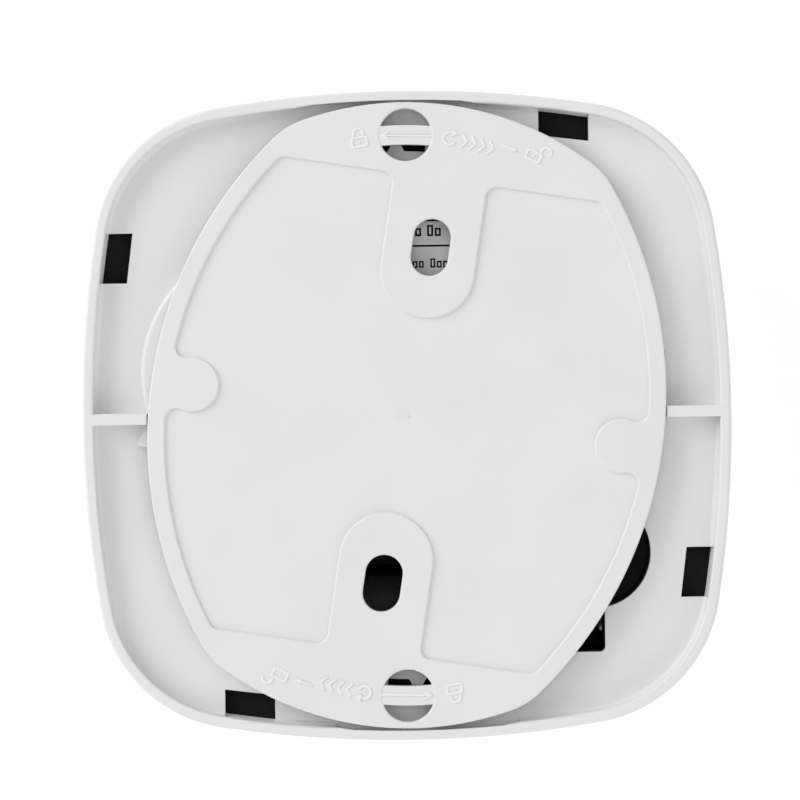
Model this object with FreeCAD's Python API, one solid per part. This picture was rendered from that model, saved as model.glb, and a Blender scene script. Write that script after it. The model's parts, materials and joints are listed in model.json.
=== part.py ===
import FreeCAD, Part
import math
import os

# A ceiling smoke alarm seen in its own frame, in millimetres. The origin is the centre of the
# mounting plate's ceiling face, +Z points to the ceiling and +Y runs along the plate's two screw
# slots. The detector hangs below the plate and is turned by REST_TURN against it.

# Driving dimensions of the detector's rounded-square outline.
HALF_WIDTH = 57.5
SIDE_RADIUS = 210.0
CORNER_RADIUS = 25.6
REST_TURN = 9.0  # degrees: the detector's turn on the plate where it can be lifted off

# Levels, from the ceiling down.
RIM_Z = -0.5
FLOOR_Z = -4.0
FLOOR_UNDER_Z = -5.8
BOARD_TOP_Z = -8.0
BOARD_UNDER_Z = -9.6
SEAM_Z = -10.0
FACE_INNER_Z = -31.0
FACE_Z = -33.0
DOME_INNER_Z = -33.5
DOME_Z = -35.5
BUTTON_Z = -36.2

# Walls of the housing.
RIM_WIDTH = 2.0
SKIRT_WIDTH = 1.8
WALL = 2.0
LIP_INNER = 3.2
SHADOW_GAP = 0.6
RIM_ROUND = 0.7
RIM_INNER_ROUND = 0.35
SEAL_TOP_Z = -6.4  # the dust seal lies on the board and the front cover's lip
SNAP_LENGTH = 7.0
SNAP_Z = -9.4
SNAP_HEIGHT = 0.9
SNAP_REACH = 0.8
RIB_INNER = 46.05
RIB_WIDTH = 2.0
RELIEF_DEPTH = 0.3

# The mounting plate.
PLATE_RADIUS = 55.35
PLATE_HALF_WIDTH = 45.6
PLATE_SIDE_RADIUS = 74.2
PLATE_UNDER_Z = -2.0
PANEL_Z = -0.6
BORDER_WIDTH = 3.05
PANEL_HALF_LENGTH = 42.2
PANEL_CORNER = 2.0
SLOT_SPACING = 60.0
SLOT_WIDTH = 6.6
SLOT_LENGTH = 10.1
TONGUE_HALF_WIDTH = 8.35
TONGUE_END_Y = 25.8
LOBE_X = 38.4
LOBE_RADIUS = 4.8
BAR_HOLE_RADIUS = 4.65
BAR_RADIUS = 49.6
BAR_ANGLE = 8.44  # degrees counter-clockwise from +Y
BAR_WIDTH = 3.4
BAR_Z = -0.15

# The bayonet hooks under the bars, and the arc slots that they go through.
HOOK_INNER = 48.2
HOOK_OUTER = 50.8
HOOK_START = 6.0
HOOK_LEG_END = 8.6
HOOK_FOOT_END = 12.4
HOOK_FOOT_TOP_Z = -6.1
HOOK_FOOT_UNDER_Z = -7.4
SLOT_INNER = 46.9
SLOT_OUTER = 51.2
SLOT_START = -4.8
SLOT_END = 10.3
SLOT_WIDE_START = 4.4

# Smoke chamber, under the round bulge in the back cover.
CHAMBER_X = -23.6
CHAMBER_Y = 7.7
BULGE_RADIUS = 23.5
BULGE_Z = -2.5
CHAMBER_RADIUS = 18.0
CHAMBER_FRONT_Z = -25.5
CHAMBER_FLOOR = 2.0
CHAMBER_CAP = 1.5
OPTIC_RADIUS = 2.5
OPTIC_Z = -14.9
OPTIC_ANGLES = (-60, 75)  # degrees counter-clockwise from +Y, seen from the chamber's centre

# Battery bay for two AA cells, with a round finger recess at its right end.
BAY_LEFT = -23.5
BAY_RIGHT = 34.7
BAY_LOW = -42.55
BAY_HIGH = -12.5
FINGER_X = 33.15
FINGER_Y = -24.9
FINGER_RADIUS = 9.85
BAY_FLOOR_Z = -22.0
BAY_CORNER = 1.0
HOLDER_WALL = 1.3
CELL_RADIUS = 7.1
CELL_LENGTH = 50.5
CELL_ROWS = (-34.9, -19.9)
CELL_Z = BAY_FLOOR_Z + CELL_RADIUS + 0.1
CELL_LEFT = -19.0
CONTACT_SHEET = 0.4

# Horn, button, light and fixings.
HORN_X = 28.0
HORN_Y = 17.0
HORN_RADIUS = 17.0
HORN_WALL = 1.5
DISC_TOP_Z = -14.6
CERAMIC_TOP_Z = -14.35
BUTTON_RADIUS = 12.0
BUTTON_CLEARANCE = 0.3
STEM_RADIUS = 2.5
PLUNGER_RADIUS = 1.75
PLUNGER_FRONT_Z = -14.8
LIGHT_Y = 20.0
LIGHT_RADIUS = 1.5
SCREW_OFFSET = 41.0
SCREW_RADIUS = 1.1
CLIP_X = -51.2
CLIP_Y = 28.6
CLIP_DEPTH = 4.75
CLIP_LENGTH = 8.9
CLIP_LEAN = 7.2  # degrees between a clip window's long edges and the body's side
CLIP_DRAFT = 0.3  # how far a clip window's outer wall slopes inwards below the floor

ORIGIN = FreeCAD.Vector(0, 0, 0)
UP = FreeCAD.Vector(0, 0, 1)


def point(x, y, z=0.0):
    return FreeCAD.Vector(x, y, z)


def box(x0, x1, y0, y1, z0, z1):
    return Part.makeBox(x1 - x0, y1 - y0, z1 - z0, point(x0, y0, z0))


def cylinder(x, y, radius, z0, z1):
    return Part.makeCylinder(radius, z1 - z0, point(x, y, z0), UP)


def prism(points, z0, z1):
    """A straight-sided solid on a closed outline of (x, y) corners."""
    corners = [point(x, y, z0) for x, y in points]
    wire = Part.makePolygon(corners + corners[:1])
    return Part.Face(wire).extrude(point(0, 0, z1 - z0))


def turned(shape, degrees):
    copy = shape.copy()
    copy.rotate(ORIGIN, UP, degrees)
    return copy


def moved(shape, x, y, z=0.0):
    copy = shape.copy()
    copy.translate(point(x, y, z))
    return copy


def sector(inner, outer, start, end, z0, z1):
    """Part of a ring; its angles are counted counter-clockwise from +Y."""
    corners = [point(0, inner, z0), point(0, outer, z0), point(0, outer, z1), point(0, inner, z1)]
    face = Part.Face(Part.makePolygon(corners + corners[:1]))
    return turned(face.revolve(ORIGIN, UP, end - start), start)


def stadium(x, y, half_width, length, z0, z1):
    """An oblong with round ends, its length along Y."""
    reach = length / 2 - half_width
    shape = box(x - half_width, x + half_width, y - reach, y + reach, z0, z1)
    for side in (-1, 1):
        shape = shape.fuse(cylinder(x, y + side * reach, half_width, z0, z1))
    return shape.removeSplitter()


def union(shapes):
    return shapes[0].multiFuse(shapes[1:]).removeSplitter()


def vertical_edges(shape, keep):
    """Edges along Z whose (x, y) place passes the test keep."""
    found = []
    for edge in shape.Edges:
        low, high = edge.BoundBox.ZMin, edge.BoundBox.ZMax
        flat = edge.BoundBox.XLength < 1e-4 and edge.BoundBox.YLength < 1e-4
        centre = edge.BoundBox.Center
        if flat and high - low > 1e-3 and keep(centre.x, centre.y):
            found.append(edge)
    return found


def edges_at(shape, z):
    """Edges that lie flat at one level."""
    return [
        edge
        for edge in shape.Edges
        if abs(edge.BoundBox.ZMin - z) < 1e-4 and abs(edge.BoundBox.ZMax - z) < 1e-4
    ]


def squircle_wire(inset, z):
    """The housing's outline moved in by inset: four long side arcs and four tangent corner arcs."""
    side = SIDE_RADIUS - inset
    corner = CORNER_RADIUS - inset
    side_centre = HALF_WIDTH - SIDE_RADIUS
    # The corner arc's centre (k, k) lies side - corner away from the side arc's centre.
    gap = SIDE_RADIUS - CORNER_RADIUS
    k = (side_centre + math.sqrt(2 * gap**2 - side_centre**2)) / 2
    scale = side / gap
    end_x = k * scale
    end_y = side_centre + (k - side_centre) * scale
    diagonal = k + corner * math.sqrt(0.5)
    top = Part.Arc(point(-end_x, end_y), point(0, HALF_WIDTH - inset), point(end_x, end_y))
    bend = Part.Arc(point(end_x, end_y), point(diagonal, diagonal), point(end_y, end_x))
    edges = []
    for quarter in range(4):
        for arc in (top, bend):
            edges.append(turned(arc.toShape(), -90 * quarter))
    wire = Part.Wire(edges)
    wire.translate(point(0, 0, z))
    return wire


def squircle(inset, z0, z1):
    return Part.Face(squircle_wire(inset, z0)).extrude(point(0, 0, z1 - z0))


def side_height(x, inset):
    """How far the outline's upper side, moved in by inset, stands from the X axis at x."""
    side = SIDE_RADIUS - inset
    return HALF_WIDTH - SIDE_RADIUS + math.sqrt(side**2 - x**2)


def plate_blank(inset, z0, z1):
    """The plate's oval: a disc cut by two wider side arcs, with the junctions smoothed."""
    blank = cylinder(0, 0, PLATE_RADIUS - inset, z0, z1)
    offset = PLATE_SIDE_RADIUS - PLATE_HALF_WIDTH
    for side in (-1, 1):
        blank = blank.common(cylinder(side * offset, 0, PLATE_SIDE_RADIUS - inset, z0, z1))
    junctions = vertical_edges(blank, lambda x, y: abs(y) > 20)
    return blank.makeFillet(14 - inset, junctions)


def plate_panel():
    """The shallow recess in the plate, round the two screw tongues and the two side lobes."""
    high = 1.0
    reach = PLATE_HALF_WIDTH + 5
    panel = plate_blank(BORDER_WIDTH, PANEL_Z, high)
    panel = panel.common(box(-reach, reach, -PANEL_HALF_LENGTH, PANEL_HALF_LENGTH, PANEL_Z, high))
    for side in (-1, 1):
        near, far = sorted((side * TONGUE_END_Y, side * (PANEL_HALF_LENGTH + 5)))
        tongue = box(-TONGUE_HALF_WIDTH, TONGUE_HALF_WIDTH, near, far, PANEL_Z, high)
        tongue_end = cylinder(0, side * TONGUE_END_Y, TONGUE_HALF_WIDTH, PANEL_Z, high)
        lobe = cylinder(side * LOBE_X, 0, LOBE_RADIUS, PANEL_Z, high)
        panel = panel.cut(tongue).cut(tongue_end).cut(lobe)
    panel = panel.removeSplitter()
    corners = vertical_edges(panel, lambda x, y: abs(y) > PANEL_HALF_LENGTH - 0.5)
    panel = panel.makeFillet(PANEL_CORNER, corners)
    necks = vertical_edges(panel, lambda x, y: abs(x) > 40 and abs(y) < 8)
    return panel.makeFillet(PANEL_CORNER, necks)


def plate_hook():
    """A bar across a round hole, with the bayonet hook that hangs from it."""
    spread = math.degrees(BAR_HOLE_RADIUS / BAR_RADIUS) + 1
    inner, outer = BAR_RADIUS - BAR_WIDTH / 2, BAR_RADIUS + BAR_WIDTH / 2
    bar = sector(inner, outer, BAR_ANGLE - spread, BAR_ANGLE + spread, PLATE_UNDER_Z, BAR_Z)
    leg = sector(HOOK_INNER, HOOK_OUTER, HOOK_START, HOOK_LEG_END, HOOK_FOOT_UNDER_Z, PLATE_UNDER_Z + 0.5)
    foot = sector(HOOK_INNER, HOOK_OUTER, HOOK_START, HOOK_FOOT_END, HOOK_FOOT_UNDER_Z, HOOK_FOOT_TOP_Z)
    return union([bar, leg, foot])


def mounting_plate():
    plate = plate_blank(0, PLATE_UNDER_Z, 0).cut(plate_panel())
    angle = math.radians(BAR_ANGLE)
    for half_turn in (0, 180):
        hole = cylinder(
            -BAR_RADIUS * math.sin(angle), BAR_RADIUS * math.cos(angle), BAR_HOLE_RADIUS, PLATE_UNDER_Z - 1, 1
        )
        slot = stadium(0, SLOT_SPACING / 2, SLOT_WIDTH / 2, SLOT_LENGTH, PLATE_UNDER_Z - 1, 1)
        plate = plate.cut(turned(hole, half_turn)).cut(turned(slot, half_turn))
    plate = plate.makeFillet(0.3, edges_at(plate, 0))
    # Shallow dish with a gate mark at the centre of the panel.
    dish_depth = 0.15
    dish_radius = 1.8
    ball = (dish_radius**2 + dish_depth**2) / (2 * dish_depth)
    plate = plate.cut(Part.makeSphere(ball, point(0, 0, PANEL_Z - dish_depth + ball)))
    gate_mark = cylinder(0, 0, 0.5, PANEL_Z - 0.4, PANEL_Z - 0.02)
    hook = plate_hook()
    return union([plate, gate_mark, hook, turned(hook, 180)])


def clip_outline(grow, z0, z1):
    """A parallelogram at the left: two edges along the rim, two along X."""
    lean = math.tan(math.radians(CLIP_LEAN))
    half_x, half_y = CLIP_DEPTH / 2 + grow, CLIP_LENGTH / 2 + grow
    outline = []
    for x, y in ((-half_x, -half_y), (half_x, -half_y), (half_x, half_y), (-half_x, half_y)):
        outline.append((CLIP_X + x + y * lean, CLIP_Y + y))
    return prism(outline, z0, z1)


def clip_window():
    """The cut for one clip window; its outer wall slopes inwards with depth."""
    low, high = FLOOR_UNDER_Z - 0.2, FLOOR_Z + 2
    wires = [squircle_wire(RIM_WIDTH + CLIP_DRAFT, low), squircle_wire(RIM_WIDTH - 0.5, high)]
    sloped = Part.makeLoft(wires, True, True)
    outward = moved(clip_outline(0, low, high), -1, 0)
    return clip_outline(0, low, high).fuse(outward).common(sloped)


def bay_outline(grow, z0, z1):
    """The battery opening with its round finger recess, its corners and junctions rounded."""
    bay = box(BAY_LEFT - grow, BAY_RIGHT + grow, BAY_LOW - grow, BAY_HIGH + grow, z0, z1)
    outline = union([bay, cylinder(FINGER_X, FINGER_Y, FINGER_RADIUS + grow, z0, z1)])
    return outline.makeFillet(BAY_CORNER, vertical_edges(outline, lambda x, y: x < FINGER_X + 5))


def hook_slot(z0, z1):
    """Arc slot for one bayonet hook, with a detent tab on its inner edge and a wider far end."""
    slot = sector(SLOT_INNER, SLOT_OUTER, SLOT_START, SLOT_END, z0, z1)
    wide_end = sector(SLOT_INNER - 0.8, SLOT_OUTER, SLOT_WIDE_START, SLOT_END, z0, z1)
    ramp = prism([(-2.2, 46.8), (-3.9, 46.1), (-3.9, 47.6), (-2.2, 47.6)], z0, z1)
    tab = prism([(-3.0, 46.5), (-2.1, 47.95), (-0.3, 47.95), (0.5, 46.5)], z0, z1)
    return union([slot, wide_end, ramp]).cut(tab)


def quarter_turns(shape):
    return [turned(shape, -90 * quarter) for quarter in range(4)]


def screw_places():
    return [(x, y) for x in (-SCREW_OFFSET, SCREW_OFFSET) for y in (-SCREW_OFFSET, SCREW_OFFSET)]


def rim_relief():
    """Where the plate's round end comes closest the rim is thinner, with a slanted start and end."""
    start, end, slant = -16.3, 10.3, 3.0
    shallow = RIM_WIDTH
    deep = RIM_WIDTH - RELIEF_DEPTH
    outline = [
        (start - slant, side_height(start - slant, shallow)),
        (start, side_height(start, deep)),
        (start, HALF_WIDTH),
        (end, HALF_WIDTH),
        (end, side_height(end, deep)),
        (end + slant, side_height(end + slant, shallow)),
        (end + slant, 50),
        (start - slant, 50),
    ]
    return prism(outline, FLOOR_Z, RIM_Z + 1).common(squircle(deep, FLOOR_Z, RIM_Z + 1))


def side_rib(side):
    """A rib on the floor, from the plate's edge to the rim at the left (-1) or right (1)."""
    near, far = sorted((side * RIB_INNER, side * HALF_WIDTH))
    rib = box(near, far, -RIB_WIDTH / 2, RIB_WIDTH / 2, FLOOR_Z - 1, RIM_Z)
    return rib.common(squircle(RIM_WIDTH / 2, SEAM_Z, RIM_Z))


def flared_spur():
    """A small gusset that leaves the left rib's end and widens away from it."""
    arc = Part.Arc(point(-46.7, -0.5), point(-47.0, -2.8), point(-48.0, -4.6)).toShape()
    corners = ((-48.0, -4.6), (-46.2, -5.1), (-45.0, -4.8), (-45.0, -0.5), (-46.7, -0.5))
    sides = Part.makePolygon([point(x, y) for x, y in corners])
    face = Part.Face(Part.Wire([arc] + sides.Edges))
    low, high = FLOOR_Z - 1, BULGE_Z - 0.2
    face.translate(point(0, 0, low))
    return face.extrude(point(0, 0, high - low))


def snap_nose(grow):
    """A nose on the front cover's lip, in its pocket in the skirt; grow gives the pocket."""
    half = SNAP_LENGTH / 2 + grow
    nose = box(-HALF_WIDTH, -50, CLIP_Y - half, CLIP_Y + half, SNAP_Z - grow, SNAP_Z + SNAP_HEIGHT + grow)
    low, high = SEAM_Z - 1, BOARD_TOP_Z + 1
    outer = WALL - SNAP_REACH - grow
    return nose.common(squircle(outer, low, high)).cut(squircle(LIP_INNER, low, high))


def back_cover():
    cover = squircle(0, SEAM_Z, RIM_Z)
    cover = cover.makeFillet(RIM_ROUND, edges_at(cover, RIM_Z))
    recess = squircle(RIM_WIDTH, FLOOR_Z, RIM_Z + 1)
    recess = recess.makeFillet(0.8, edges_at(recess, FLOOR_Z))
    cover = cover.cut(recess).cut(squircle(SKIRT_WIDTH, SEAM_Z - 1, FLOOR_UNDER_Z))
    within = squircle(RIM_WIDTH - 0.2, RIM_Z - 1, RIM_Z + 1)
    inner_edges = [edge for edge in edges_at(cover, RIM_Z) if within.isInside(edge.CenterOfMass, 0, False)]
    cover = cover.makeFillet(RIM_INNER_ROUND, inner_edges)
    relief = rim_relief()
    cover = cover.cut(relief).cut(turned(relief, 180))
    bulge = cylinder(CHAMBER_X, CHAMBER_Y, BULGE_RADIUS, FLOOR_Z - 1, BULGE_Z)
    bulge = bulge.makeFillet(0.8, edges_at(bulge, BULGE_Z))
    solids = [cover, bulge, side_rib(-1), side_rib(1), flared_spur()]
    boss_radius = 2.8
    for x, y in screw_places():
        solids.append(cylinder(x, y, boss_radius, BOARD_TOP_Z, FLOOR_UNDER_Z + 0.5))
    cover = union(solids)
    bulge_wall = 1.6
    keyhole_x, keyhole_y, keyhole_size = 43.65, 8.4, 2.4
    keyhole = box(0, keyhole_size, 0, keyhole_size, FLOOR_UNDER_Z - 1, FLOOR_Z + 1)
    cuts = [
        cylinder(CHAMBER_X, CHAMBER_Y, BULGE_RADIUS - bulge_wall, FLOOR_UNDER_Z - 1, BULGE_Z - bulge_wall),
        bay_outline(0, FLOOR_UNDER_Z - 3, 0),
        moved(keyhole, keyhole_x, keyhole_y),
    ]
    slot = hook_slot(FLOOR_UNDER_Z - 1, FLOOR_Z + 1)
    cuts += [slot, turned(slot, 180)]
    cuts += quarter_turns(clip_window())
    cuts += quarter_turns(snap_nose(0.15))
    for x, y in screw_places():
        cuts.append(cylinder(x, y, SCREW_RADIUS + 0.05, BOARD_TOP_Z - 1, FLOOR_UNDER_Z + 0.9))
    return cover.cut(cuts)


def dust_seal():
    """A black foam ring between the floor and the board, widened under each clip window."""
    outer, inner = SKIRT_WIDTH + 0.2, 5.0
    ring = squircle(outer, BOARD_TOP_Z, SEAL_TOP_Z).cut(squircle(inner, BOARD_TOP_Z - 1, SEAL_TOP_Z + 1))
    pad = clip_outline(1.2, BOARD_TOP_Z, SEAL_TOP_Z).common(squircle(outer, BOARD_TOP_Z, SEAL_TOP_Z))
    return union([ring] + quarter_turns(pad))


def front_cover():
    block = squircle(0, FACE_Z, SEAM_Z)
    block = block.makeFillet(9.0, edges_at(block, FACE_Z))
    dome_radius = 30.0
    dome = cylinder(0, 0, dome_radius, DOME_Z, FACE_Z + 1)
    dome = dome.makeFillet(2.3, edges_at(dome, DOME_Z))
    lip = squircle(WALL, SEAM_Z - 1, BOARD_TOP_Z)
    cover = union([block, dome, lip])
    cavity_back_z = -14.0
    cavity = squircle(WALL, FACE_INNER_Z, cavity_back_z)
    cavity = cavity.makeFillet(7.0, edges_at(cavity, FACE_INNER_Z))
    mouth = squircle(LIP_INNER, cavity_back_z - 0.5, BOARD_TOP_Z + 1)
    dome_cavity = cylinder(0, 0, dome_radius - WALL, DOME_INNER_Z, FACE_INNER_Z + 1)
    cover = cover.cut(cavity).cut(mouth).cut(dome_cavity)
    gap_ring = squircle(-1, SEAM_Z - SHADOW_GAP, SEAM_Z).cut(squircle(SHADOW_GAP, SEAM_Z - 1, SEAM_Z + 1))
    cover = cover.cut(gap_ring)
    cover = cover.cut(side_inlets() + face_openings())
    return union([cover] + quarter_turns(snap_nose(0)))


def side_inlets():
    """Upright smoke inlets: a row of slots through each side wall."""
    slots = []
    pitch, width = 4.8, 2.0
    low, high = -22.5, -14.5
    for step in range(-6, 7):
        centre = step * pitch
        slots.append(box(centre - width / 2, centre + width / 2, 50, HALF_WIDTH + 1, low, high))
    return [turned(slot, 90 * quarter) for quarter in range(4) for slot in slots]


def face_openings():
    """The button hole, the light's hole, a ring of slots on the dome and the horn's grille."""
    low, high = DOME_Z - 1, FACE_INNER_Z
    openings = [
        cylinder(0, 0, BUTTON_RADIUS + BUTTON_CLEARANCE, low, high),
        cylinder(0, LIGHT_Y, LIGHT_RADIUS + 0.1, low, high),
    ]
    slot_count, slot_width = 24, 1.6
    for step in range(1, slot_count):
        slot = box(-slot_width / 2, slot_width / 2, 17.5, 25.5, low, high)
        openings.append(turned(slot, 360 / slot_count * step))
    horn_direction = math.degrees(math.atan2(HORN_Y, HORN_X)) - 90
    grille_pitch, grille_width = 3.4, 1.8
    for step in range(-2, 3):
        left = step * grille_pitch - grille_width / 2
        slot = box(left, left + grille_width, 32.5, 44 - abs(step), FACE_Z - 1, high + 1)
        openings.append(turned(slot, horn_direction))
    return openings


def test_button():
    cap = cylinder(0, 0, BUTTON_RADIUS, BUTTON_Z, DOME_INNER_Z + 1)
    cap = cap.makeFillet(1.2, edges_at(cap, BUTTON_Z))
    dish_radius, dish_depth = 90.0, 0.6
    cap = cap.cut(Part.makeSphere(dish_radius, point(0, 0, BUTTON_Z - dish_radius + dish_depth)))
    flange_radius, flange_top = 13.6, DOME_INNER_Z + 1.3
    flange = cylinder(0, 0, flange_radius, DOME_INNER_Z + 0.1, flange_top)
    shell = union([cap, flange])
    inner_radius, wall = 10.3, 1.8
    shell = shell.cut(cylinder(0, 0, inner_radius, BUTTON_Z + wall, flange_top + 1))
    stem = cylinder(0, 0, STEM_RADIUS, BUTTON_Z + 1.0, PLUNGER_FRONT_Z - 0.05)
    ribs = []
    half_thickness = 0.6
    for quarter in range(4):
        rib = box(-half_thickness, half_thickness, 2.0, inner_radius + 0.2, BUTTON_Z + 1.7, flange_top - 0.1)
        ribs.append(turned(rib, 90 * quarter))
    return union([shell, stem] + ribs)


def test_switch():
    """A tactile switch's case; its round well holds the plunger."""
    half_width, front_z = 3.0, -13.1
    body = box(-half_width, half_width, -half_width, half_width, front_z, BOARD_UNDER_Z)
    return body.cut(cylinder(0, 0, PLUNGER_RADIUS + 0.1, front_z - 1, -11.9))


def switch_plunger():
    plunger = cylinder(0, 0, PLUNGER_RADIUS, PLUNGER_FRONT_Z, -12.5)
    return plunger.makeChamfer(0.3, edges_at(plunger, PLUNGER_FRONT_Z))


def circuit_board():
    board = squircle(4.2, BOARD_UNDER_Z, BOARD_TOP_Z)
    board = board.cut(bay_outline(HOLDER_WALL + 0.4, BOARD_UNDER_Z - 1, BOARD_TOP_Z + 1))
    hole_radius = SCREW_RADIUS + 0.4
    for x, y in screw_places():
        board = board.cut(cylinder(x, y, hole_radius, BOARD_UNDER_Z - 1, BOARD_TOP_Z + 1))
    return board


def board_screws():
    """Four cross-head screws through the board into the back cover's bosses."""
    screws = []
    head_radius, head_height = 2.6, 1.7
    front_z = BOARD_UNDER_Z - head_height
    long, short, depth = 1.4, 0.3, 0.9
    for x, y in screw_places():
        head = cylinder(x, y, head_radius, front_z, BOARD_UNDER_Z)
        head = head.makeFillet(0.8, edges_at(head, front_z))
        for half_x, half_y in ((long, short), (short, long)):
            head = head.cut(box(x - half_x, x + half_x, y - half_y, y + half_y, front_z - 1, front_z + depth))
        shank = cylinder(x, y, SCREW_RADIUS, BOARD_UNDER_Z, FLOOR_UNDER_Z + 0.7)
        screws.append(union([head, shank]))
    return Part.makeCompound(screws)


def battery_holder():
    """The dark well for the cells: a box with a flange against the back cover's floor."""
    flange = bay_outline(3.0, FLOOR_UNDER_Z - 1.2, FLOOR_UNDER_Z)
    well = box(
        BAY_LEFT - HOLDER_WALL,
        BAY_RIGHT + HOLDER_WALL,
        BAY_LOW - HOLDER_WALL,
        BAY_HIGH + HOLDER_WALL,
        BAY_FLOOR_Z - 1.4,
        FLOOR_UNDER_Z,
    )
    finger_floor_z = -15.0
    scoop = cylinder(FINGER_X, FINGER_Y, FINGER_RADIUS + HOLDER_WALL, finger_floor_z - 1.4, FLOOR_UNDER_Z)
    shell = union([flange, well, scoop])
    inside = box(BAY_LEFT, BAY_RIGHT, BAY_LOW, BAY_HIGH, BAY_FLOOR_Z, 0)
    return shell.cut(inside).cut(cylinder(FINGER_X, FINGER_Y, FINGER_RADIUS, finger_floor_z, 0))


def battery_cell(y, plus_right):
    """An AA cell along X: a can and the small terminal at its positive end."""
    terminal_radius, terminal_length = 2.75, 1.4
    can_length = CELL_LENGTH - terminal_length
    along = FreeCAD.Vector(1, 0, 0)
    can = Part.makeCylinder(CELL_RADIUS, can_length, point(CELL_LEFT, y, CELL_Z), along)
    can = can.makeFillet(0.6, [edge for edge in can.Edges if edge.BoundBox.XLength < 1e-4])
    start = point(CELL_LEFT + can_length - 1, y, CELL_Z)
    terminal = Part.makeCylinder(terminal_radius, terminal_length + 1, start, along)
    cell = union([can, terminal])
    if not plus_right:
        cell.rotate(point(CELL_LEFT + CELL_LENGTH / 2, y, CELL_Z), UP, 180)
    return cell


def battery_cells():
    return Part.makeCompound([battery_cell(CELL_ROWS[0], True), battery_cell(CELL_ROWS[1], False)])


def bow_spring(wall_x, tip_x, y):
    """A bowed strip from the end wall to the cell's end."""
    width, half_chord = 7.0, 5.0
    rise = abs(tip_x - wall_x)
    radius = (half_chord**2 + rise**2) / (2 * rise)
    side = 1 if tip_x > wall_x else -1
    centre = point(tip_x - side * radius, y - width / 2, CELL_Z)
    along = FreeCAD.Vector(0, 1, 0)
    strip = Part.makeCylinder(radius, width, centre, along)
    strip = strip.cut(Part.makeCylinder(radius - CONTACT_SHEET, width, centre, along))
    near, far = sorted((wall_x, tip_x + side))
    return strip.common(box(near, far, y - width, y + width, CELL_Z - 8, CELL_Z + 8))


def battery_contacts():
    """Sprung end contacts: one bridge across both cells at the left, two tabs at the right."""
    sheet = CONTACT_SHEET
    half_width = 4.5
    touch = 0.02  # the gap between a bow's crown and the cell's end
    low, high = CELL_ROWS
    bridge = box(BAY_LEFT, BAY_LEFT + sheet, low - half_width, high + half_width, CELL_Z - 6, CELL_Z + 6)
    bows = [bow_spring(BAY_LEFT + sheet / 2, CELL_LEFT - touch, y) for y in CELL_ROWS]
    contacts = [union([bridge] + bows)]
    cell_end = CELL_LEFT + CELL_LENGTH
    for y in CELL_ROWS:
        tab = box(BAY_RIGHT - sheet, BAY_RIGHT, y - half_width, y + half_width, CELL_Z - 6.5, CELL_Z - 0.3)
        bow = bow_spring(BAY_RIGHT - sheet / 2, cell_end + touch, y)
        contacts.append(union([tab, bow]))
    return Part.makeCompound(contacts)


def rating_label():
    thickness = 0.15
    label = box(-2, 33, 17.5, 35.7, FLOOR_Z, FLOOR_Z + thickness)
    return label.makeFillet(1.2, vertical_edges(label, lambda x, y: True))


def in_chamber(shape, angle=0):
    """Turns a shape about the chamber's axis, once it has been made round the origin."""
    return moved(turned(shape, angle), CHAMBER_X, CHAMBER_Y)


def optic_holder(angle):
    block = box(-3.5, 3.5, 6.5, 13, OPTIC_Z - 3.3, OPTIC_Z + 3.4)
    bore = Part.makeCylinder(OPTIC_RADIUS + 0.1, 8, point(0, 6, OPTIC_Z), FreeCAD.Vector(0, 1, 0))
    return in_chamber(block.cut(bore), angle)


def optic(angle):
    """A round diode package that looks at the chamber's centre, with two leads to the board."""
    inward = FreeCAD.Vector(0, -1, 0)
    back, length = 12.5, 4.5
    body = Part.makeCylinder(OPTIC_RADIUS, length, point(0, back, OPTIC_Z), inward)
    lens = Part.makeSphere(OPTIC_RADIUS, point(0, back - length, OPTIC_Z))
    solids = [body, lens]
    half = 0.25
    for x in (-1.2, 1.2):
        solids.append(box(x - half, x + half, back + 0.5, back + 1, OPTIC_Z, BOARD_UNDER_Z))
        solids.append(box(x - half, x + half, back - 0.1, back + 1, OPTIC_Z - 0.3, OPTIC_Z + 0.2))
    return in_chamber(union(solids), angle)


def chamber_base():
    """The chamber's floor disc on the board, with two optic holders and slits for their leads."""
    disc = cylinder(CHAMBER_X, CHAMBER_Y, CHAMBER_RADIUS, BOARD_UNDER_Z - CHAMBER_FLOOR, BOARD_UNDER_Z)
    base = union([disc] + [optic_holder(angle) for angle in OPTIC_ANGLES])
    slit = box(-2.0, 2.0, 12.3, 13.8, BOARD_UNDER_Z - CHAMBER_FLOOR - 1, BOARD_UNDER_Z + 1)
    return base.cut([in_chamber(slit, angle) for angle in OPTIC_ANGLES])


def chamber_cover():
    """A cap with slanted vanes, which let smoke in and keep light out."""
    cap = cylinder(CHAMBER_X, CHAMBER_Y, CHAMBER_RADIUS, CHAMBER_FRONT_Z, CHAMBER_FRONT_Z + CHAMBER_CAP)
    cap = cap.makeFillet(0.8, edges_at(cap, CHAMBER_FRONT_Z))
    vane_end_z = BOARD_UNDER_Z - CHAMBER_FLOOR - 0.1
    vane = box(-0.45, 0.45, -1.6, 1.6, CHAMBER_FRONT_Z + 1, vane_end_z)
    vane = moved(turned(vane, 45), 0, 15.6)
    count = 22
    vanes = [in_chamber(vane, 360 / count * step) for step in range(count)]
    return union([cap] + vanes)


def insect_screen():
    """A thin ring with rows of square holes round the vanes."""
    low, high = CHAMBER_FRONT_Z + CHAMBER_CAP, BOARD_UNDER_Z - CHAMBER_FLOOR
    ring = cylinder(0, 0, CHAMBER_RADIUS + 0.55, low, high)
    ring = ring.cut(cylinder(0, 0, CHAMBER_RADIUS + 0.2, low - 1, high + 1))
    count, rows = 36, 4
    half_width, bar = 1.2, 0.4
    pitch = (high - low) / rows
    cuts = []
    for row in range(rows):
        z = low + row * pitch
        hole = box(-half_width, half_width, 15, 20, z + bar, z + pitch - bar)
        cuts += [turned(hole, 360 / count * step) for step in range(count)]
    return in_chamber(ring.cut(cuts))


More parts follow.
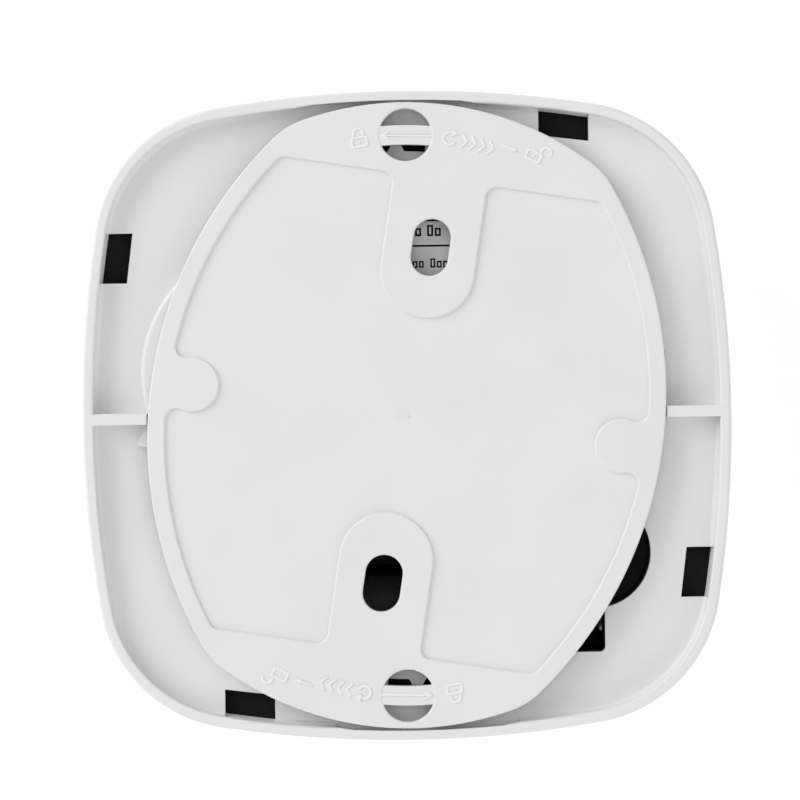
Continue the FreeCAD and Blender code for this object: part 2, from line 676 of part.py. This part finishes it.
def horn_housing():
    """A cup on the board with a ledge for the sounder's disc and holes for its three pins."""
    cup = cylinder(HORN_X, HORN_Y, HORN_RADIUS, -22.0, BOARD_UNDER_Z)
    cup = cup.cut(cylinder(HORN_X, HORN_Y, HORN_RADIUS - HORN_WALL, -23, DISC_TOP_Z))
    cup = cup.cut(cylinder(HORN_X, HORN_Y, 12.5, DISC_TOP_Z - 0.4, -11.2))
    for x in horn_pin_places():
        cup = cup.cut(cylinder(x, HORN_Y, 0.8, DISC_TOP_Z - 1.4, BOARD_UNDER_Z + 1))
    return cup


def horn_pin_places():
    return (HORN_X - 11.5, HORN_X, HORN_X + 7.0)


def piezo_disc():
    plate = cylinder(HORN_X, HORN_Y, 13.6, DISC_TOP_Z - 0.4, DISC_TOP_Z)
    ceramic = cylinder(HORN_X, HORN_Y, 9.8, DISC_TOP_Z, CERAMIC_TOP_Z)
    return union([plate, ceramic])


def horn_contacts():
    """One spring pin on the disc's metal and two on its ceramic."""
    ends = (DISC_TOP_Z, CERAMIC_TOP_Z, CERAMIC_TOP_Z)
    pins = [cylinder(x, HORN_Y, 0.5, end, BOARD_UNDER_Z) for x, end in zip(horn_pin_places(), ends)]
    return Part.makeCompound(pins)


def horn_cover():
    """A lid in the cup with a short sound tube in its middle."""
    lid_front_z, lid_back_z = -21.8, -20.4
    lid = cylinder(HORN_X, HORN_Y, HORN_RADIUS - HORN_WALL - 0.1, lid_front_z, lid_back_z)
    tube_front_z = -26.0
    tube = cylinder(HORN_X, HORN_Y, 7.5, tube_front_z, lid_back_z)
    bore = cylinder(HORN_X, HORN_Y, 6.0, tube_front_z - 1, lid_back_z + 1)
    return union([lid, tube]).cut(bore)


def controller_chip():
    """A 16-pin small-outline package."""
    x, y = -20, 36
    half_length, half_width = 5.0, 2.0
    standoff, height = 0.15, 1.75
    foot = BOARD_UNDER_Z
    low, high = foot - height, foot - standoff
    solids = [box(x - half_length, x + half_length, y - half_width, y + half_width, low, high)]
    pin_pitch, pin_half, pin_height = 1.27, 0.2, 0.5
    for step in range(8):
        centre = x + pin_pitch * (step - 3.5)
        for side in (-1, 1):
            near, far = sorted((side * (half_width - 0.2), side * (half_width + 1)))
            left, right = centre - pin_half, centre + pin_half
            solids.append(box(left, right, y + near, y + far, foot - pin_height, foot))
    return union(solids)


def capacitors():
    radius, height = 3.2, 8.0
    cans = []
    for x, y in ((-5, 33), (4, 40)):
        can = cylinder(x, y, radius, BOARD_UNDER_Z - height, BOARD_UNDER_Z)
        cans.append(can.makeFillet(0.5, edges_at(can, BOARD_UNDER_Z - height)))
    return Part.makeCompound(cans)


def resistors():
    """A row of eight chip resistors, 2 x 1.2 mm each."""
    y, left, pitch = 46.0, -26.0, 4.0
    chips = []
    for step in range(8):
        x = left + pitch * step
        chips.append(box(x - 1.0, x + 1.0, y - 0.6, y + 0.6, BOARD_UNDER_Z - 0.5, BOARD_UNDER_Z))
    return Part.makeCompound(chips)


def boost_coil():
    """A winding between the two flanges of its core."""
    x, y = -34, 32
    height = 6.0
    ends = [cylinder(x, y, 4.0, z, z + 1) for z in (BOARD_UNDER_Z - 1, BOARD_UNDER_Z - height)]
    winding = cylinder(x, y, 3.1, BOARD_UNDER_Z - height + 0.5, BOARD_UNDER_Z - 0.5)
    return union(ends + [winding])


def status_led():
    base = cylinder(0, LIGHT_Y, 1.9, BOARD_UNDER_Z - 1.0, BOARD_UNDER_Z)
    tip_z = BOARD_UNDER_Z - 2.4
    body = cylinder(0, LIGHT_Y, 1.5, tip_z, BOARD_UNDER_Z)
    return union([base, body.makeFillet(1.2, edges_at(body, tip_z))])


def light_guide():
    """A clear rod from the lamp on the board to the dome, with a collar behind the face."""
    tip_z = DOME_Z - 0.3
    rod = cylinder(0, LIGHT_Y, LIGHT_RADIUS, tip_z, BOARD_UNDER_Z - 2.6)
    rod = rod.makeFillet(0.8, edges_at(rod, tip_z))
    collar = cylinder(0, LIGHT_Y, 2.4, DOME_INNER_Z, DOME_INNER_Z + 0.9)
    return union([rod, collar])


PLATE_NODES = {"mounting_plate": mounting_plate}
DETECTOR_NODES = {
    "back_cover": back_cover,
    "dust_seal": dust_seal,
    "front_cover": front_cover,
    "rating_label": rating_label,
    "test_button": test_button,
    "test_switch": test_switch,
    "switch_plunger": switch_plunger,
    "circuit_board": circuit_board,
    "board_screws": board_screws,
    "battery_holder": battery_holder,
    "battery_cells": battery_cells,
    "battery_contacts": battery_contacts,
    "chamber_base": chamber_base,
    "chamber_cover": chamber_cover,
    "insect_screen": insect_screen,
    "infrared_emitter": lambda: optic(OPTIC_ANGLES[0]),
    "light_receiver": lambda: optic(OPTIC_ANGLES[1]),
    "horn_housing": horn_housing,
    "horn_cover": horn_cover,
    "piezo_disc": piezo_disc,
    "horn_contacts": horn_contacts,
    "controller_chip": controller_chip,
    "capacitors": capacitors,
    "resistors": resistors,
    "boost_coil": boost_coil,
    "status_led": status_led,
    "light_guide": light_guide,
}

os.makedirs("parts", exist_ok=True)
for name, make in PLATE_NODES.items():
    make().exportStep(f"parts/{name}.step")
for name, make in DETECTOR_NODES.items():
    turned(make(), REST_TURN).exportStep(f"parts/{name}.step")
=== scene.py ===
import json
import math

import bpy
from mathutils import Matrix, Vector


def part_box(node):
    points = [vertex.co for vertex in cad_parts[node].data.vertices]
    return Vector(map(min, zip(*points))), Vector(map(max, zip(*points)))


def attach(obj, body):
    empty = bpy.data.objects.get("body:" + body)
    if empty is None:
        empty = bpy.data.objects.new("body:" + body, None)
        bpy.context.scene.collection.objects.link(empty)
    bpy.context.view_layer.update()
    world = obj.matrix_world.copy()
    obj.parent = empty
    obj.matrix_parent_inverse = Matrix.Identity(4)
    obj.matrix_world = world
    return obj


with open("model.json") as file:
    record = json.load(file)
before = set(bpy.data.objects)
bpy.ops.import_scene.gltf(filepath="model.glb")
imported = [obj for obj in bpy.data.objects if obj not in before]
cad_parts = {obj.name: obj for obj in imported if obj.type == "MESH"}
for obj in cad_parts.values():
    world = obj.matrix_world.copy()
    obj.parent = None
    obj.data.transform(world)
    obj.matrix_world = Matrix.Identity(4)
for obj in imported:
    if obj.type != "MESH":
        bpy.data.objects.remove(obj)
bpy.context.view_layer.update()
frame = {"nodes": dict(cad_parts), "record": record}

# A white ceiling smoke alarm lying face down, its oval mounting plate upwards, on a pale floor.
MM = 0.001
nodes = frame["nodes"]

# The camera looks straight down. Its upward direction leans VIEW_ROLL anticlockwise from the row's +Y.
VIEW_ROLL = math.radians(8.14)
VIEW_DISTANCE = 0.66
VIEW_WIDTH = 0.14135
VIEW_CENTRE = Vector((-1.2 * MM, 2.7 * MM, 0))
SENSOR = 36.0

# Studio light: watts for the lamps, metres for their size and distance.
FLOOR_GLOW = 0.36
SKY = 0.64
KEY_POWER = 13.6
FILL_POWER = 6.5
LAMP_SIZE = 1.2
LAMP_DISTANCE = 1.6

# The detector's own axes are turned from the row's at rest, and the bars lie below the plate's top.
REST_TURN = math.radians(9.0)
BAR_DEPTH = 0.15 * MM

# Raised signs on the plate and flat print on the label. Half of each piece is sunk in its surface.
SIGN_HEIGHT = 0.24 * MM
SIGN_BEVEL = 0.05 * MM
PRINT_HEIGHT = 0.02 * MM


# ---------------------------------------------------------------- materials

def new_material(name):
    material = bpy.data.materials.new(name)
    material.use_nodes = True
    tree = material.node_tree
    return material, tree, tree.nodes["Principled BSDF"]


def add_node(tree, kind, **values):
    """A node whose inputs or properties are set by name; an underscore stands for a space."""
    node = tree.nodes.new(kind)
    for key, value in values.items():
        socket = key.replace("_", " ")
        if socket in node.inputs:
            node.inputs[socket].default_value = value
        else:
            setattr(node, key, value)
    return node


def coordinates(tree):
    return add_node(tree, "ShaderNodeTexCoord").outputs["Object"]


def noise(tree, size, detail=2.0, roughness=0.5, stretch=(1, 1, 1)):
    """A noise whose features are about size metres across."""
    mapping = add_node(tree, "ShaderNodeMapping")
    mapping.inputs["Scale"].default_value = stretch
    tree.links.new(coordinates(tree), mapping.inputs["Vector"])
    texture = add_node(tree, "ShaderNodeTexNoise", Scale=1 / size, Detail=detail, Roughness=roughness)
    tree.links.new(mapping.outputs["Vector"], texture.inputs["Vector"])
    return texture.outputs["Fac"]


def ranged(tree, source, low, high, start=0.3, end=0.7):
    """The source's values from start to end, spread over low to high."""
    node = add_node(tree, "ShaderNodeMapRange", clamp=True)
    for key, value in (("From Min", start), ("From Max", end), ("To Min", low), ("To Max", high)):
        node.inputs[key].default_value = value
    tree.links.new(source, node.inputs["Value"])
    return node.outputs["Result"]


def blended(tree, factor, first, second):
    """Two colours, or a colour and a socket, mixed by a factor."""
    mix = add_node(tree, "ShaderNodeMix", data_type="RGBA")
    tree.links.new(factor, mix.inputs["Factor"])
    sockets = [socket for socket in mix.inputs if socket.type == "RGBA"]
    for socket, value in zip(sockets, (first, second)):
        if isinstance(value, bpy.types.NodeSocket):
            tree.links.new(value, socket)
        else:
            socket.default_value = (*value, 1)
    return next(socket for socket in mix.outputs if socket.type == "RGBA")


def add_bump(tree, shader, heights):
    """Chains bumps, each a (height source, depth in metres, strength)."""
    normal = None
    for source, depth, strength in heights:
        bump = add_node(tree, "ShaderNodeBump", Strength=strength, Distance=depth)
        tree.links.new(source, bump.inputs["Height"])
        if normal is not None:
            tree.links.new(normal, bump.inputs["Normal"])
        normal = bump.outputs["Normal"]
    tree.links.new(normal, shader.inputs["Normal"])


def moulded_plastic(name, colour, roughness, tone=0.02, grain=0.35 * MM, depth=0.012 * MM, specular=0.5):
    """Injection-moulded plastic: faint cloudy tone, spark-eroded grain and uneven gloss."""
    material, tree, shader = new_material(name)
    lighter = tuple(min(1.0, c * (1 + tone)) for c in colour)
    darker = tuple(c * (1 - tone) for c in colour)
    cloud = ranged(tree, noise(tree, 18 * MM, 3), 0, 1)
    tree.links.new(blended(tree, cloud, darker, lighter), shader.inputs["Base Color"])
    gloss = ranged(tree, noise(tree, 6 * MM, 4), roughness - 0.04, roughness + 0.04)
    tree.links.new(gloss, shader.inputs["Roughness"])
    shader.inputs["Specular IOR Level"].default_value = specular
    fine = noise(tree, grain, 2, 0.6)
    flow = noise(tree, 9 * MM, 2)
    add_bump(tree, shader, [(fine, depth, 0.5), (flow, 0.03 * MM, 0.3)])
    return material


def metal(name, colour, roughness, stretch=(1, 1, 1)):
    """Plated or rolled sheet metal with fine drawn lines and faint tarnish."""
    material, tree, shader = new_material(name)
    shader.inputs["Metallic"].default_value = 1.0
    dull = tuple(c * 0.8 for c in colour)
    tarnish = ranged(tree, noise(tree, 3 * MM, 4), 0, 1)
    tree.links.new(blended(tree, tarnish, dull, colour), shader.inputs["Base Color"])
    lines = noise(tree, 0.3 * MM, 2, 0.5, stretch)
    tree.links.new(ranged(tree, lines, roughness - 0.08, roughness + 0.08), shader.inputs["Roughness"])
    add_bump(tree, shader, [(lines, 0.01 * MM, 0.4)])
    return material


def circuit_mask():
    """Black solder mask with faintly raised tracks under it."""
    material, tree, shader = new_material("black_solder_mask")
    tracks = add_node(tree, "ShaderNodeTexBrick", Scale=90.0)
    tracks.inputs["Color1"].default_value = (0.010, 0.014, 0.012, 1)
    tracks.inputs["Color2"].default_value = (0.007, 0.009, 0.008, 1)
    tracks.inputs["Mortar"].default_value = (0.018, 0.028, 0.022, 1)
    tracks.inputs["Mortar Size"].default_value = 0.03
    tree.links.new(coordinates(tree), tracks.inputs["Vector"])
    tree.links.new(tracks.outputs["Color"], shader.inputs["Base Color"])
    tree.links.new(ranged(tree, noise(tree, 2 * MM), 0.5, 0.62), shader.inputs["Roughness"])
    shader.inputs["Specular IOR Level"].default_value = 0.12
    add_bump(tree, shader, [(tracks.outputs["Fac"], 0.02 * MM, 0.5)])
    return material


def cell_sleeve():
    """A dark printed sleeve with one plain band along the cell and faint print grain."""
    material, tree, shader = new_material("cell_sleeve")
    axis = add_node(tree, "ShaderNodeSeparateXYZ")
    tree.links.new(coordinates(tree), axis.inputs["Vector"])
    band = ranged(tree, axis.outputs["X"], 0, 1, 14 * MM, 14.4 * MM)
    grain = ranged(tree, noise(tree, 0.5 * MM), 0, 1)
    dark = blended(tree, grain, (0.038, 0.038, 0.039), (0.055, 0.055, 0.056))
    tree.links.new(blended(tree, band, dark, (0.07, 0.06, 0.045)), shader.inputs["Base Color"])
    tree.links.new(ranged(tree, grain, 0.45, 0.55), shader.inputs["Roughness"])
    shader.inputs["Specular IOR Level"].default_value = 0.15
    return material


def screen_metal():
    """The insect screen's etched steel, darkened by its fine weave."""
    material, tree, shader = new_material("screen_weave")
    shader.inputs["Metallic"].default_value = 1.0
    weave = add_node(tree, "ShaderNodeTexChecker", Scale=2500.0)
    weave.inputs["Color1"].default_value = (0.42, 0.42, 0.41, 1)
    weave.inputs["Color2"].default_value = (0.16, 0.16, 0.16, 1)
    tree.links.new(coordinates(tree), weave.inputs["Vector"])
    tree.links.new(weave.outputs["Color"], shader.inputs["Base Color"])
    tree.links.new(ranged(tree, noise(tree, 2 * MM), 0.35, 0.5), shader.inputs["Roughness"])
    add_bump(tree, shader, [(weave.outputs["Fac"], 0.03 * MM, 0.6)])
    return material


def clear_plastic(name, colour, roughness):
    """Clear resin or acrylic, with faint ripples from moulding."""
    material, tree, shader = new_material(name)
    cloud = ranged(tree, noise(tree, 2 * MM), 0, 1)
    darker = tuple(c * 0.94 for c in colour)
    tree.links.new(blended(tree, cloud, darker, colour), shader.inputs["Base Color"])
    tree.links.new(ranged(tree, noise(tree, 1 * MM), roughness, roughness + 0.06), shader.inputs["Roughness"])
    shader.inputs["Transmission Weight"].default_value = 0.85
    shader.inputs["IOR"].default_value = 1.49
    add_bump(tree, shader, [(noise(tree, 1.5 * MM), 0.02 * MM, 0.3)])
    return material


def foam(name, colour):
    """Closed-cell foam: fine pores, no gloss."""
    material, tree, shader = new_material(name)
    pores = add_node(tree, "ShaderNodeTexVoronoi", Scale=1 / (0.35 * MM))
    tree.links.new(coordinates(tree), pores.inputs["Vector"])
    lighter = tuple(c * 1.5 for c in colour)
    tree.links.new(blended(tree, pores.outputs["Distance"], colour, lighter), shader.inputs["Base Color"])
    tree.links.new(ranged(tree, pores.outputs["Distance"], 0.8, 0.95), shader.inputs["Roughness"])
    shader.inputs["Specular IOR Level"].default_value = 0.1
    add_bump(tree, shader, [(pores.outputs["Distance"], 0.08 * MM, 0.6)])
    return material


WHITE = (0.80, 0.80, 0.80)
BLACK = (0.06, 0.06, 0.061)
MATERIALS = {
    "white_shell": moulded_plastic("white_shell_plastic", WHITE, 0.46),
    "button_white": moulded_plastic("button_plastic", (0.82, 0.82, 0.81), 0.36, depth=0.005 * MM),
    "label_stock": moulded_plastic("label_film", (0.62, 0.62, 0.62), 0.5, tone=0.01, depth=0.004 * MM),
    "dark_plastic": moulded_plastic("black_plastic", BLACK, 0.6, tone=0.2, specular=0.12),
    "chip_resin": moulded_plastic("chip_resin", (0.025, 0.025, 0.027), 0.62, tone=0.15, grain=0.15 * MM),
    "capacitor_sleeve": moulded_plastic("capacitor_sleeve", (0.02, 0.03, 0.09), 0.3, tone=0.15),
    "plunger_brown": moulded_plastic("plunger_brown", (0.16, 0.09, 0.06), 0.45, tone=0.1),
    "led_resin": moulded_plastic("red_led_resin", (0.62, 0.05, 0.04), 0.22, tone=0.08, depth=0.003 * MM),
    "diode_dark": moulded_plastic("dark_diode_resin", (0.02, 0.012, 0.02), 0.15, tone=0.1, depth=0.003 * MM),
    "seal_foam": foam("seal_foam", (0.011, 0.011, 0.0115)),
    # The raised signs are the shell's plastic painted lighter (0.88 against 0.80): a painted highlight for
    # the light their raised tops catch.
    "raised_sign": moulded_plastic("raised_sign_painted_highlight", (0.88, 0.88, 0.88), 0.42, depth=0.006 * MM),
    "ink": moulded_plastic("black_ink", (0.004, 0.004, 0.004), 0.6, tone=0.2, grain=0.1 * MM, specular=0.1),
    "circuit_board": circuit_mask(),
    "cell_sleeve": cell_sleeve(),
    "mesh_steel": screen_metal(),
    "tinned_steel": metal("nickel_plate", (0.66, 0.65, 0.62), 0.3, (1, 12, 1)),
    "screw_steel": metal("zinc_plate", (0.55, 0.55, 0.56), 0.38),
    "sounder_brass": metal("sounder_brass", (0.78, 0.58, 0.25), 0.3),
    "copper_coil": metal("copper_winding", (0.55, 0.22, 0.1), 0.35, (1, 1, 14)),
    "diode_clear": clear_plastic("clear_diode_resin", (0.86, 0.9, 0.95), 0.04),
    "light_acrylic": clear_plastic("light_guide_acrylic", (0.93, 0.95, 0.96), 0.06),
}


def dress_cad_nodes():
    """Gives each CAD node the detailed material of its slot in the record."""
    for part in frame["record"]["subparts"]:
        mesh = nodes[part["node"]].data
        mesh.materials.clear()
        mesh.materials.append(MATERIALS[part["material_slot"]])


# ---------------------------------------------------------------- raised signs and print

def circle(x, y, radius, start=0, end=360, steps=24):
    """Points on an arc, in degrees counter-clockwise from +X."""
    points = []
    for i in range(steps + 1):
        angle = math.radians(start + (end - start) * i / steps)
        points.append((x + radius * math.cos(angle), y + radius * math.sin(angle)))
    return points if abs(end - start) < 360 else points[:-1]


def rounded_box(x0, x1, y0, y1, radius):
    corners = (
        (x1 - radius, y1 - radius, 0),
        (x0 + radius, y1 - radius, 90),
        (x0 + radius, y0 + radius, 180),
        (x1 - radius, y0 + radius, 270),
    )
    points = []
    for x, y, start in corners:
        points += circle(x, y, radius, start, start + 90, 5)
    return points


def stroke(points, width):
    """The outline of an open line of even width, drawn as a closed loop."""
    left, right = [], []
    for i, here in enumerate(points):
        before = Vector(points[max(i - 1, 0)])
        after = Vector(points[min(i + 1, len(points) - 1)])
        along = (after - before).normalized()
        side = Vector((-along.y, along.x)) * width / 2
        left.append(tuple(Vector(here) + side))
        right.append(tuple(Vector(here) - side))
    return left + right[::-1]


def relief(name, loops, place, z, height, bevel):
    """A flat-topped piece on closed loops in millimetres; place turns each point into metres."""
    curve = bpy.data.curves.new(name, "CURVE")
    curve.dimensions = "2D"
    curve.fill_mode = "BOTH"
    curve.extrude = height / 2
    curve.bevel_depth = bevel
    curve.bevel_resolution = 2
    curve.offset = -bevel
    for loop in loops:
        spline = curve.splines.new("POLY")
        spline.points.add(len(loop) - 1)
        for point, (x, y) in zip(spline.points, loop):
            point.co = (*place(x, y), 0, 1)
        spline.use_cyclic_u = True
    holder = bpy.data.objects.new(name + "_curve", curve)
    mesh = bpy.data.meshes.new_from_object(holder)
    bpy.data.objects.remove(holder)
    mesh.name = name
    mesh.transform(Matrix.Translation((0, 0, z)))
    piece = bpy.data.objects.new(name, mesh)
    bpy.context.scene.collection.objects.link(piece)
    return piece


def on_plate(radius, degrees, half_turn):
    """Places a sign on the plate: x runs clockwise and y outwards from a point on a circle."""
    def place(x, y):
        angle = math.radians(degrees + half_turn) - x / radius
        reach = (radius + y) * MM
        return -reach * math.sin(angle), reach * math.cos(angle)
    return place


def padlock(lift):
    """A padlock in outline; lift is 0 when closed, and moves the shackle sideways when open."""
    line = 0.38
    half, low, high = 1.5, -1.55, 0.4
    body = rounded_box(-half, half, low, high, 0.4)
    window = rounded_box(-half + line, half - line, low + line, high - line, 0.15)
    keyhole = circle(0, (low + high) / 2, 0.2, steps=12)
    reach = 0.85
    left, right = lift - reach, lift + reach
    free_end = high + 0.02 + 0.35 * (lift > 0)
    arch = [(left, high + 0.02), *circle(lift, 0.95, reach, 180, 0, 16), (right, free_end)]
    return [body, window, keyhole, stroke(arch, line)]


def arrow(length, head, rise, line):
    """A thin arrow that points along +x, with an open head."""
    tip = length / 2
    slope = math.atan2(rise, head)
    joint = tip - line / math.sin(slope) - line / 2 / math.tan(slope)
    upper = [
        (-tip, line / 2),
        (joint, line / 2),
        (tip - head - line * math.sin(slope), rise - line * math.cos(slope)),
        (tip - head, rise),
    ]
    return [upper + [(tip, 0)] + [(x, -y) for x, y in upper[::-1]]]


def turn_sign():
    """A ring with an arrowhead and four chevrons, which stand for a twisting movement."""
    line = 0.38
    ring_x, ring_radius = -3.7, 1.1
    loops = [stroke(circle(ring_x, 0, ring_radius, 70, 335, 26), line)]
    loops.append([(ring_x + 0.3, 1.75), (ring_x + 0.3, 0.4), (ring_x + 1.4, 1.05)])
    for step in range(4):
        x = -1.5 + 1.6 * step
        loops.append(stroke([(x, 1.25), (x + 0.9, 0), (x, -1.25)], line))
    return loops


def plate_signs():
    """Lock signs, turning sign and arrows round both ends of the plate, repeated after half a turn."""
    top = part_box("mounting_plate")[1].z
    along_bar = [[(-x, y) for x, y in arrow(9.4, 1.5, 0.75, 0.32)[0]]]
    signs = {
        "locked_sign": (padlock(0), 49.6, 18.0, top),
        "turn_sign": (turn_sign(), 49.5, -4.9, top),
        "unlock_arrow": (arrow(3.0, 0.8, 0.5, 0.3), 50.6, -12.8, top),
        "unlocked_sign": (padlock(1.75), 51.6, -17.9, top),
        "bar_arrow": (along_bar, 49.6, 8.2, top - BAR_DEPTH),
    }
    for name, (loops, radius, degrees, z) in signs.items():
        for end, half_turn in (("a", 0), ("b", 180)):
            place = on_plate(radius, degrees, half_turn)
            piece = relief(f"{name}_{end}", loops, place, z, SIGN_HEIGHT, SIGN_BEVEL)
            # The signs' lighter plastic is a painted highlight, not a different colour of plastic.
            piece.data.materials.append(MATERIALS["raised_sign"])
            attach(piece, "plate")


def on_detector(x, y):
    """A point in the detector's own axes, in millimetres, placed in the row frame."""
    cos, sin = math.cos(REST_TURN), math.sin(REST_TURN)
    return (x * cos - y * sin) * MM, (x * sin + y * cos) * MM


def placeholder_marks(start, end, low, height):
    """A group of small upright frames, tall and short in turn, that stands for a word."""
    pitch = 0.68 * height
    line = 0.17 * height
    width = pitch - 0.14 * height
    marks = []
    for step in range(max(1, round((end - start) / pitch))):
        x = start + pitch * step
        top = low + height * (1.0, 0.74, 0.74, 0.88)[step % 4]
        for inset in (0, line):
            marks.append(rounded_box(x + inset, x + width - inset, low + inset, top - inset, 0.08))
    return marks


def label_print():
    """Generic print on the label: a frame, a rule and rows of small empty frames in place of words."""
    loops = [
        rounded_box(-1.1, 32.1, 18.4, 34.7, 0.8),
        rounded_box(-0.8, 31.8, 18.7, 34.4, 0.6),
        rounded_box(-0.7, 31.7, 29.88, 30.22, 0.1),
    ]
    rows = (
        (31.75, 2.0, ((0.6, 3.4), (4.1, 7.4), (8.6, 13.0), (13.9, 19.5), (20.4, 24.0))),
        (26.15, 1.65, ((0.3, 3.6), (4.6, 8.9), (9.8, 12.4), (13.6, 20.2), (21.4, 27.0))),
        (22.6, 1.2, ((0.6, 9.5), (10.6, 16.0), (17.1, 22.4), (23.5, 30.5))),
        (20.0, 1.2, ((0.6, 6.0), (7.1, 15.2), (16.3, 19.4), (20.5, 28.6))),
    )
    for low, height, groups in rows:
        for start, end in groups:
            loops += placeholder_marks(start, end, low, height)
    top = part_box("rating_label")[1].z
    piece = relief("label_print", loops, on_detector, top, PRINT_HEIGHT, 0.0)
    piece.data.materials.append(MATERIALS["ink"])
    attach(piece, "detector")


# ---------------------------------------------------------------- floor, light and camera

def floor():
    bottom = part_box("test_button")[0].z
    mesh = bpy.data.meshes.new("floor")
    reach = 3.0
    corners = [(-reach, -reach, 0), (reach, -reach, 0), (reach, reach, 0), (-reach, reach, 0)]
    mesh.from_pydata(corners, [], [(0, 1, 2, 3)])
    plane = bpy.data.objects.new("floor", mesh)
    plane.location.z = bottom
    bpy.context.scene.collection.objects.link(plane)
    material, tree, shader = new_material("pale_floor")
    cloud = ranged(tree, noise(tree, 0.4), 0, 1)
    tree.links.new(blended(tree, cloud, (0.83, 0.83, 0.83), (0.85, 0.85, 0.85)), shader.inputs["Base Color"])
    shader.inputs["Roughness"].default_value = 0.9
    shader.inputs["Specular IOR Level"].default_value = 0.1
    shader.inputs["Emission Color"].default_value = (1, 1, 1, 1)
    shader.inputs["Emission Strength"].default_value = FLOOR_GLOW
    mesh.materials.append(material)


def in_view(degrees, height):
    """A direction: degrees anticlockwise from the main view's right, height in degrees above the floor."""
    turn, rise = math.radians(degrees) + VIEW_ROLL, math.radians(height)
    return Vector((math.cos(rise) * math.cos(turn), math.cos(rise) * math.sin(turn), math.sin(rise)))


def soft_lamp(name, direction, power):
    lamp = bpy.data.lights.new(name, "AREA")
    lamp.energy = power
    lamp.shape = "DISK"
    lamp.size = LAMP_SIZE
    holder = bpy.data.objects.new(name, lamp)
    holder.location = direction * LAMP_DISTANCE
    holder.rotation_euler = direction.to_track_quat("Z", "Y").to_euler()
    bpy.context.scene.collection.objects.link(holder)


def lights():
    """An even white sky, a broad key light from the upper left and a weaker one from below."""
    world = bpy.data.worlds.new("studio")
    bpy.context.scene.world = world
    world.use_nodes = True
    background = world.node_tree.nodes["Background"]
    background.inputs["Color"].default_value = (1, 1, 1, 1)
    background.inputs["Strength"].default_value = SKY
    soft_lamp("key", in_view(150, 28), KEY_POWER)
    soft_lamp("fill", in_view(300, 28), FILL_POWER)


def camera():
    data = bpy.data.cameras.new("camera")
    data.sensor_width = SENSOR
    data.lens = SENSOR * VIEW_DISTANCE / VIEW_WIDTH
    data.clip_start, data.clip_end = 0.01, 20
    eye = bpy.data.objects.new("camera", data)
    centre = Matrix.Rotation(VIEW_ROLL, 3, "Z") @ VIEW_CENTRE
    eye.location = centre + Vector((0, 0, VIEW_DISTANCE))
    eye.rotation_euler = (0, 0, VIEW_ROLL)
    bpy.context.scene.collection.objects.link(eye)
    bpy.context.scene.camera = eye


dress_cad_nodes()
plate_signs()
label_print()
floor()
lights()
camera()
bpy.context.scene.view_settings.view_transform = "Standard"
